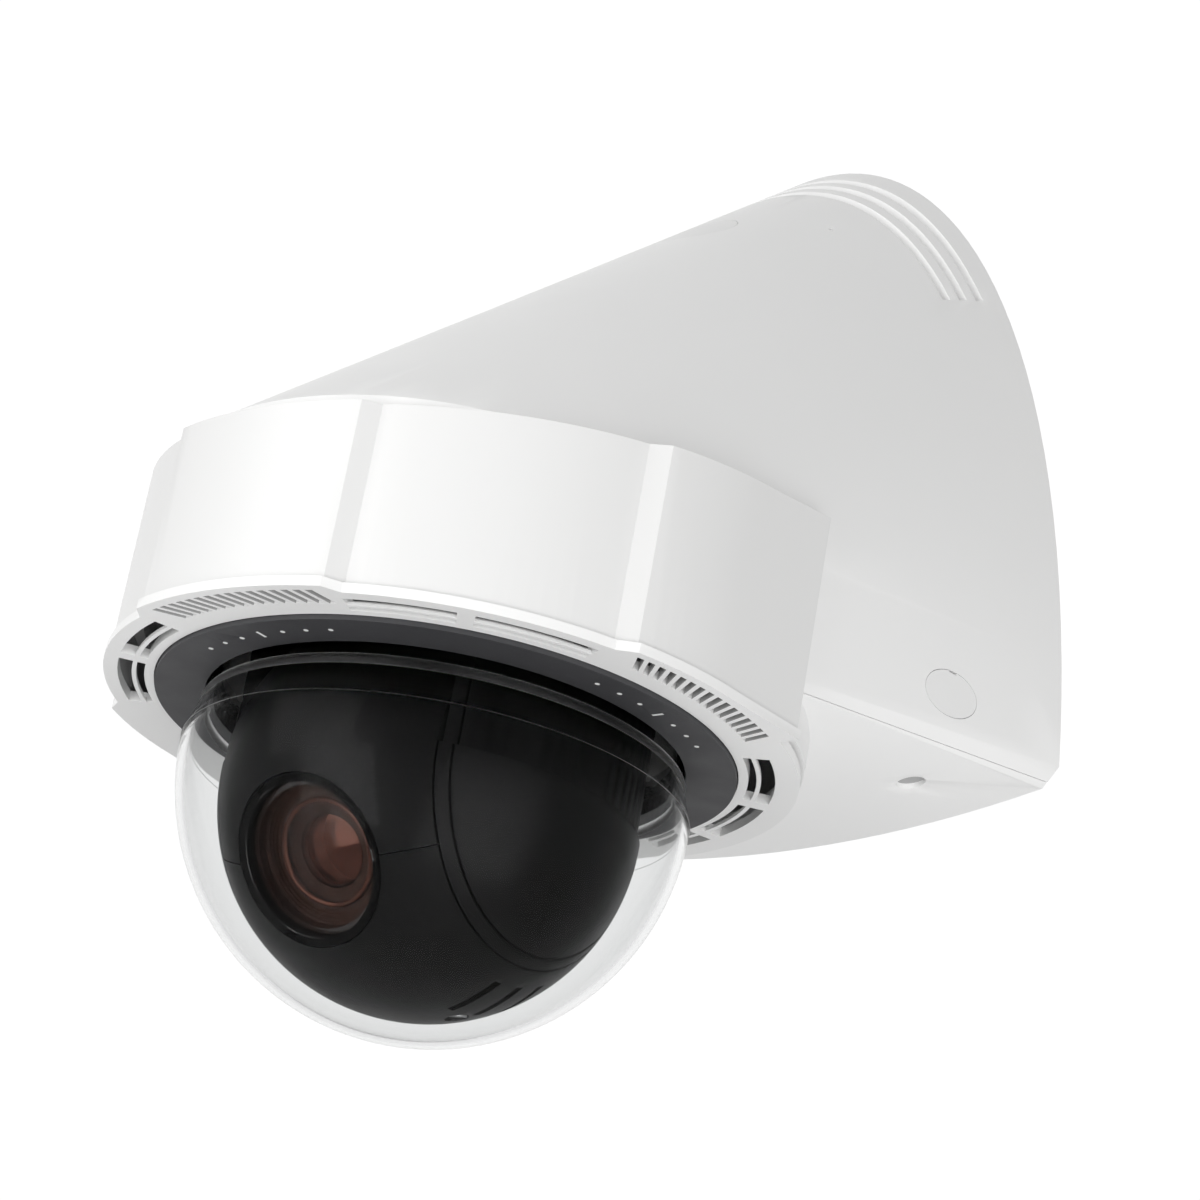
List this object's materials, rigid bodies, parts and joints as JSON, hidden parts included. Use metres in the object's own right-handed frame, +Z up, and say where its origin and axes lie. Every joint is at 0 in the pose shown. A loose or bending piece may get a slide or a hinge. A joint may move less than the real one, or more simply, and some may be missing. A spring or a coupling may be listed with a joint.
{
  "type": "wall-mounted ptz dome camera",
  "caption": "Outdoor pan-tilt-zoom dome camera with a built-in wall housing, wrap-round sunshield, clear bubble and a motor-driven camera head.",
  "frame": {"origin": "centre of the wall face: in the middle plane, at the back of the wall plate, 50 mm above the lower face of the dark scale ring and 122.3 mm behind the pan axis", "axes": "+Z up along the pan axis, +Y toward the wall, +X to the right of someone facing the wall"},
  "size_m": [0.2074, 0.2115, 0.3039],
  "materials": {
    "housing_white": "satin white paint",
    "cover_white": "satin white paint",
    "shield_white": "semi-gloss white moulding",
    "trim_white": "semi-gloss white moulding",
    "plug_white": "white knock-out plug",
    "scale_grey": "dark grey fine texture",
    "mark_white": "white print",
    "bubble_clear": "clear acrylic bubble",
    "seal_rubber": "black seal",
    "head_black": "fine satin black moulding",
    "yoke_black": "black moulding",
    "lens_black": "black lens trim",
    "lens_glass": "brown coated lens",
    "chassis_metal": "bead blasted",
    "steel": "zinc plated",
    "pulley_plastic": "natural acetal",
    "belt_rubber": "moulded belt",
    "motor_metal": "black motor case",
    "board_green": "solder mask",
    "chip_black": "moulded chip",
    "connector_metal": "plated shell",
    "sink_metal": "anodised"
  },
  "bodies": {
    "base": {"board_chips": "chip_black", "bottom_cover": "cover_white", "cable_gland": "steel", "chassis_plate": "chassis_metal", "chassis_posts": "steel", "clamp_screws": "steel", "dome_bubble": "bubble_clear", "dome_clamp_ring": "chassis_metal", "dome_gasket": "seal_rubber", "electronics_tray": "chassis_metal", "fan_frame": "motor_metal", "gland_seal": "seal_rubber", "heat_sink": "sink_metal", "housing_shell": "housing_white", "main_board": "board_green", "network_connector": "connector_metal", "pan_bearing": "steel", "pan_belt": "belt_rubber", "pan_motor": "motor_metal", "scale_marks": "mark_white", "scale_ring": "scale_grey", "side_plug_left": "plug_white", "side_plug_right": "plug_white", "slip_ring_bridge": "chassis_metal", "slip_ring_stator": "motor_metal", "sunshield": "shield_white", "top_plug": "plug_white", "trim_ring": "trim_white", "wall_plate": "housing_white"},
    "pan": {"turntable": "yoke_black", "pan_pulley": "pulley_plastic", "slip_ring_rotor": "pulley_plastic", "yoke_arm_right": "yoke_black", "yoke_arm_left": "yoke_black", "cheek_cover_right": "head_black", "cheek_cover_left": "head_black", "tilt_motor": "motor_metal", "tilt_belt": "belt_rubber"},
    "pan_motor_shaft": {"pan_motor_pulley": "pulley_plastic"},
    "tilt_motor_shaft": {"tilt_motor_pulley": "pulley_plastic"},
    "head": {"head_shell_upper": "head_black", "head_shell_lower": "head_black", "head_shell_screws": "steel", "head_carrier": "chassis_metal", "tilt_trunnions": "steel", "tilt_pulley": "pulley_plastic", "lens_ring": "lens_black", "lens_barrel": "lens_black", "front_glass": "lens_glass", "sensor_board": "board_green"},
    "zoom": {"zoom_group": "lens_glass"},
    "focus": {"focus_group": "lens_glass"},
    "fan": {"fan_rotor": "yoke_black"}
  },
  "joints": [
    {"name": "pan", "type": "hinge", "parent": "base", "child": "pan", "pos_m": [0, -0.1223, -0.01], "axis": [0, 0, 1], "continuous": true},
    {"name": "tilt", "type": "hinge", "parent": "pan", "child": "head", "pos_m": [0, -0.1223, -0.069], "axis": [1, 0, 0], "range_deg": [-35, 55]},
    {"name": "pan_motor_spin", "type": "hinge", "parent": "base", "child": "pan_motor_shaft", "pos_m": [0.024, -0.0763, 0], "axis": [0, 0, 1], "continuous": true},
    {"name": "tilt_motor_spin", "type": "hinge", "parent": "pan", "child": "tilt_motor_shaft", "pos_m": [-0.038, -0.1223, -0.048], "axis": [1, 0, 0], "range_deg": [-122.5, 192.5]},
    {"name": "zoom_slide", "type": "slide", "parent": "head", "child": "zoom", "axis": [0, -0.8192, -0.5736], "range_m": [-0.012, 0.006]},
    {"name": "focus_slide", "type": "slide", "parent": "head", "child": "focus", "axis": [0, -0.8192, -0.5736], "range_m": [-0.003, 0.003]},
    {"name": "fan_spin", "type": "hinge", "parent": "base", "child": "fan", "pos_m": [-0.048, -0.0923, 0.014], "axis": [0, 0, 1], "continuous": true}
  ],
  "couplings": [
    {"joint": "pan_motor_spin", "follows": "pan", "ratio": 4.3333},
    {"joint": "tilt_motor_spin", "follows": "tilt", "ratio": 3.5}
  ]
}
